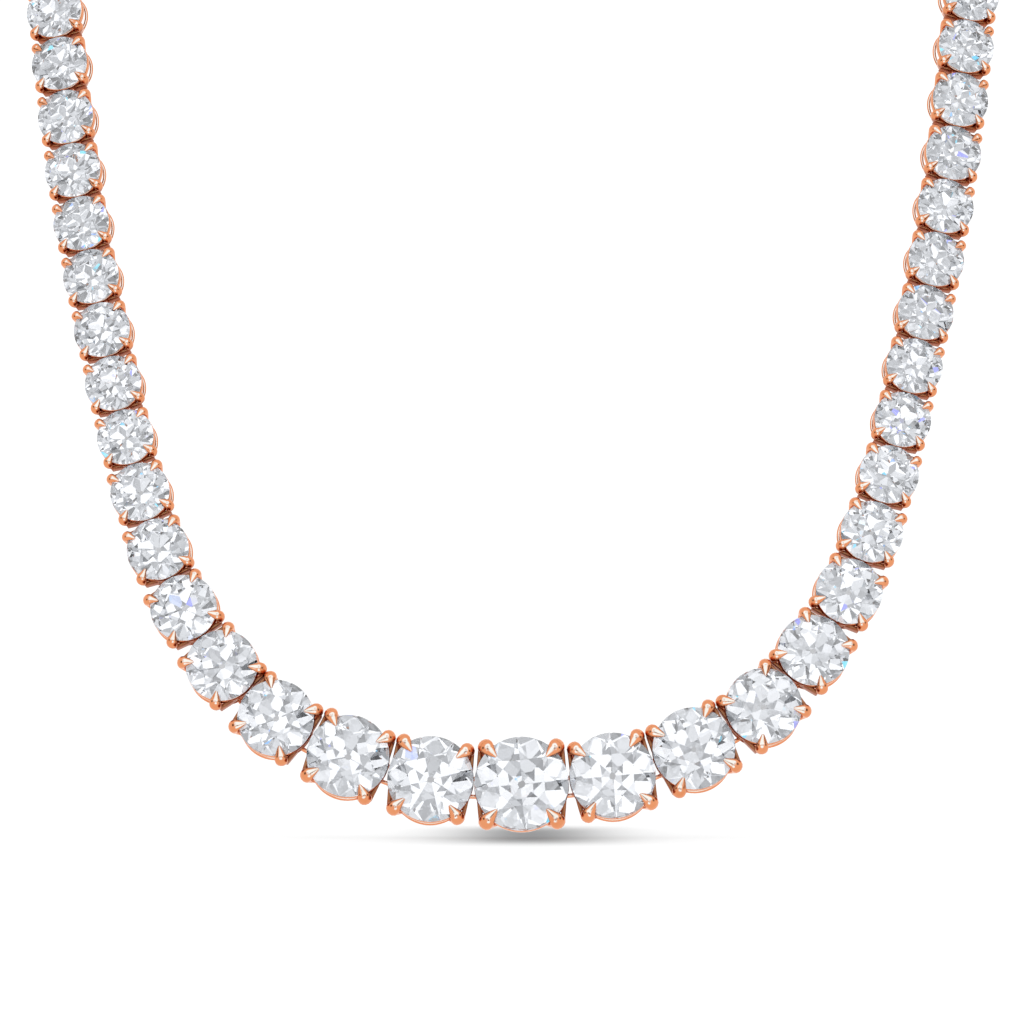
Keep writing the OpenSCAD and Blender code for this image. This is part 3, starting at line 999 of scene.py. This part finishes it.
class SetStage(bpy.types.Operator):
    """Lays the white floor, the lights and the camera"""
    bl_idname = "riviere.set_stage"
    bl_label = "Set the stage"

    def execute(self, context):
        looks = context.scene.riviere_stage
        self.lay_floor(looks)
        self.raise_tent(context.scene, looks)
        self.light_metal(context.scene, looks)
        self.place_camera(context.scene, looks)
        context.scene.view_settings.view_transform = "Standard"
        rays = context.scene.cycles
        rays.max_bounces, rays.transmission_bounces, rays.glossy_bounces, rays.diffuse_bounces = 20, 16, 10, 3
        rays.caustics_refractive = rays.caustics_reflective = False
        return {"FINISHED"}

    def lay_floor(self, looks):
        """A matte disc, a little greyed where it lies in the necklace's own shade."""
        bpy.ops.mesh.primitive_circle_add(
            vertices=96, radius=6.0, fill_type="NGON", location=(0, 0, looks.floor_z))
        floor = settle(bpy.context.object)
        matte = Finish(bpy.data.materials.new("matte_white_floor"))
        place = matte.add("ShaderNodeTexCoord", out=3)
        grain = matte.add("ShaderNodeTexNoise", {}, {"Vector": place, "Scale": 300.0, "Detail": 2.0})
        spread = matte.add("ShaderNodeMapping", {}, {
            "Vector": place, "Location": (-0.0019 / looks.shade_x, 0.0665 / looks.shade_y, 0.0),
            "Scale": (1 / looks.shade_x, 1 / looks.shade_y, 0.0)})
        split = {"Vector": spread}
        side = matte.add("ShaderNodeSeparateXYZ", {}, split, out=0)
        depth = matte.add("ShaderNodeSeparateXYZ", {}, split, out=1)
        depth = depth * depth
        shade = math.e ** (0.0 - side * side - depth * depth)
        colour = matte.blend(shade * looks.shade, solid(looks.white), (0.03, 0.03, 0.035, 1.0))
        skin = matte.add("ShaderNodeBsdfPrincipled", {}, {
            "Base Color": matte.blend(0.7, colour, (0.0, 0.0, 0.0, 1.0)), "Roughness": grain * 0.1 + 0.75,
            "Specular IOR Level": 0.1, "Emission Color": colour, "Emission Strength": 0.78})
        matte.add("ShaderNodeOutputMaterial", {}, {"Surface": skin})
        dress(floor, matte.block)
        floor.visible_transmission = floor.visible_glossy = False
        called(floor, "floor")

    def raise_tent(self, scene, looks):
        """White light from all round, and a globe of whites and greys that only the light in the stones sees."""
        world = bpy.data.worlds.new("white_room")
        scene.world = world
        room = Finish(world)
        light = room.add("ShaderNodeBackground", {}, {"Color": (1, 1, 1, 1), "Strength": looks.tent})
        room.add("ShaderNodeOutputWorld", {}, {"Surface": light})
        cloth = Finish(bpy.data.materials.new("grey_and_white_cloth"))
        place = cloth.add("ShaderNodeTexCoord", out=3)

        def along(way):
            return cloth.add("ShaderNodeVectorMath", {"operation": "DOT_PRODUCT"}, {0: place, 1: way}, out=1)

        def wave(way, start):
            return cloth.add("ShaderNodeMath", {"operation": "SINE"}, {0: along(way) + start})

        front = along((0, -1 / GLOBE, 0))
        ring = cloth.add("ShaderNodeValToRGB", {"stops": (
            (0.809, (0.3, 0.3, 0.3, 1)), (0.866, (1, 1, 1, 1)), (0.956, (1, 1, 1, 1)), (0.978, (0, 0, 0, 1)))},
            {"Fac": front})
        tone = sum(wave(way, start) for way, start in WAVES) * 0.2 + ring * 0.5 - 0.15
        grey = cloth.add("ShaderNodeValToRGB", {"stops": GREYS}, {"Fac": tone * 0.5 + 0.5})
        behind = cloth.add("ShaderNodeMapRange", {}, {"Value": front, "From Min": -0.991, "From Max": -0.9925})
        grey = cloth.blend(behind, grey, (0.31, 0.31, 0.315, 1))
        spark = wave((7.1, -3.9, 4.4), 0.7) * wave((-2.2, 6.3, 5.9), 2.1) * wave((4.8, 5.1, -6.6), 4.0)
        spark = cloth.add("ShaderNodeMapRange", {}, {"Value": spark, "From Min": 0.86, "From Max": 0.88})
        hue = cloth.add("ShaderNodeTexNoise", {}, {"Vector": place, "Scale": 1.6, "Detail": 0.0})
        hue = cloth.add("ShaderNodeMapRange", {}, {"Value": hue, "From Min": 0.42, "From Max": 0.58})
        tint = cloth.blend(hue, (0.28, 0.30, 0.95, 1.0), (0.12, 0.75, 1.0, 1.0))
        ahead = cloth.add("ShaderNodeMapRange", {}, {"Value": front, "From Min": 0.95, "From Max": 0.965})
        spark = spark * (1 - behind) * (1 - ahead)
        glow = cloth.add("ShaderNodeBsdfPrincipled", {}, {
            "Base Color": (0, 0, 0, 1), "Roughness": 1.0, "Specular IOR Level": 0.0,
            "Emission Color": cloth.blend(spark, grey, tint), "Emission Strength": 1.25})
        cloth.add("ShaderNodeOutputMaterial", {}, {"Surface": glow})
        cloth.block.cycles.emission_sampling = "NONE"
        dress(dome("stone_globe", GLOBE, (0, 0, 0), ("transmission",)), cloth.block)

    def light_metal(self, scene, looks):
        """A clear globe with bright and dark fields that only reflections see; its light reaches only the metal."""
        metal = bpy.data.collections.new("metal")
        for piece in scene.objects:
            if piece.type == "MESH" and piece.get("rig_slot") in ("setting", "link"):
                metal.objects.link(piece)
        film = Finish(bpy.data.materials.new("metal_light"))
        place = film.add("ShaderNodeTexCoord", out=3)
        place = film.add("ShaderNodeVectorMath", {"operation": "SUBTRACT"}, {0: place, 1: MIDDLE})

        def field(way, inner, outer):
            """One inside a round field of directions and nought outside it."""
            way = Vector(way).normalized() / METAL_GLOBE
            near = film.add("ShaderNodeVectorMath", {"operation": "DOT_PRODUCT"}, {0: place, 1: way}, out=1)
            return film.add("ShaderNodeMapRange", {"interpolation_type": "SMOOTHSTEP"}, {
                "Value": near, "From Min": math.cos(math.radians(outer)), "From Max": math.cos(math.radians(inner))})

        bright = film.add("ShaderNodeMath", {"operation": "MAXIMUM"}, {
            0: field((0, -1, 0.62), 30, 36), 1: field((0, -1, -0.52), 17, 21)})
        dark = film.add("ShaderNodeMath", {"operation": "MAXIMUM"}, {
            0: field((1, -0.55, 0.1), 12, 17), 1: field((-1, -0.55, 0.1), 12, 17)})
        dark = film.add("ShaderNodeMath", {"operation": "MAXIMUM"}, {0: dark, 1: field((0, -1, 0.0), 5, 9)})
        light = film.add("ShaderNodeEmission", {}, {"Color": solid(looks.glare), "Strength": 1.0})
        clear = film.add("ShaderNodeBsdfTransparent", {}, {"Color": (1, 1, 1, 1)})
        dim = film.add("ShaderNodeBsdfTransparent", {}, {"Color": (0.10, 0.10, 0.10, 1)})
        veil = film.add("ShaderNodeMixShader", {}, {0: dark, 1: clear, 2: dim})
        lit = film.add("ShaderNodeAddShader", {}, {0: light, 1: clear})
        both = film.add("ShaderNodeMixShader", {}, {0: bright - dark, 1: veil, 2: lit})
        film.add("ShaderNodeOutputMaterial", {}, {"Surface": both})
        film.block.cycles.emission_sampling = "NONE"
        globe = dress(dome("metal_globe", METAL_GLOBE, MIDDLE, ("glossy",)), film.block)
        globe.light_linking.receiver_collection = metal

    def place_camera(self, scene, looks):
        bpy.ops.object.camera_add(location=(0, -looks.eye_y, looks.eye_z), rotation=(math.pi / 2, 0, 0))
        camera = bpy.context.object
        camera.name = "front_camera"
        camera.data.sensor_width = 36.0
        camera.data.lens = looks.lens
        camera.data.clip_start, camera.data.clip_end = 0.05, 30.0
        scene.camera = camera


class RivierePanel(bpy.types.Panel):
    """Lists each step with its sizes and colours"""
    bl_idname = "VIEW3D_PT_riviere"
    bl_label = "Riviere necklace"
    bl_space_type = "VIEW_3D"
    bl_region_type = "UI"
    bl_category = "Riviere"

    def draw(self, context):
        for operator, group in STEPS:
            box = self.layout.box()
            looks = getattr(context.scene, group)
            for name in looks.__annotations__:
                box.prop(looks, name)
            box.operator(operator)


STEPS = (
    ("riviere.cut_stones", "riviere_stones"),
    ("riviere.forge_baskets", "riviere_baskets"),
    ("riviere.bend_links", "riviere_links"),
    ("riviere.make_clasp", "riviere_clasp"),
    ("riviere.set_stage", "riviere_stage"),
)
GROUPS = {
    "riviere_stones": StoneSettings,
    "riviere_baskets": BasketSettings,
    "riviere_links": LinkSettings,
    "riviere_clasp": ClaspSettings,
    "riviere_stage": StageSettings,
}
CLASSES = (*GROUPS.values(), CutStones, ForgeBaskets, BendLinks, MakeClasp, SetStage, RivierePanel)


def register():
    for kind in CLASSES:
        bpy.utils.register_class(kind)
    for name, kind in GROUPS.items():
        setattr(bpy.types.Scene, name, bpy.props.PointerProperty(type=kind))


def unregister():
    for name in GROUPS:
        delattr(bpy.types.Scene, name)
    for kind in reversed(CLASSES):
        bpy.utils.unregister_class(kind)


def main():
    register()
    bpy.ops.riviere.cut_stones()
    bpy.ops.riviere.forge_baskets()
    bpy.ops.riviere.bend_links()
    bpy.ops.riviere.make_clasp()
    bpy.ops.riviere.set_stage()


if __name__ == "__main__":
    main()
